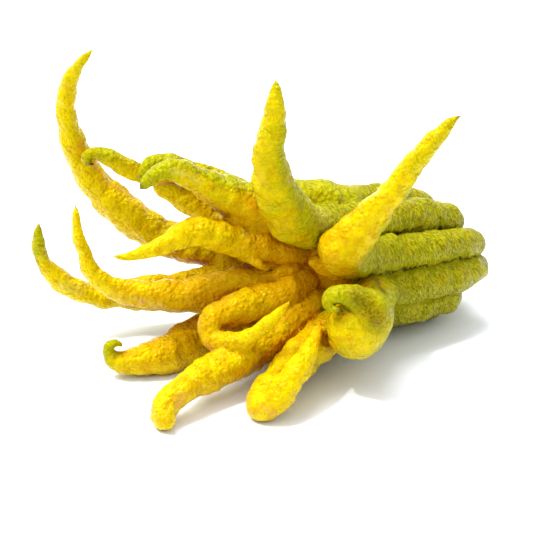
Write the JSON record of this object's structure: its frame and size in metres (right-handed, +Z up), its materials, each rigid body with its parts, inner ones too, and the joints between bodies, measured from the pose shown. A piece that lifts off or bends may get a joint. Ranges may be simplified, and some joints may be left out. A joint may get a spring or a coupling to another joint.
{
  "type": "buddhas hand citron",
  "caption": "Whole fruit on its side: a ribbed oval body whose ribs part into long tapering, curling fingers, with a woody button at the stem end.",
  "frame": {"origin": "on the surface the fruit lies on, under the middle of its bounding box", "axes": "+X along the fruit's length from the finger tips towards the stem end, +Y away from the side that the folded fingers are on, +Z up"},
  "size_m": [0.2323, 0.1605, 0.1515],
  "materials": {
    "rind": "waxy pitted citrus rind, yellow on the fingers, green-yellow on the ribs, satin gloss",
    "woody_stalk": "dry green-brown calyx and cut stalk, matt"
  },
  "bodies": {
    "root": {"fruit": "rind", "stalk_button": "woody_stalk"}
  },
  "joints": []
}
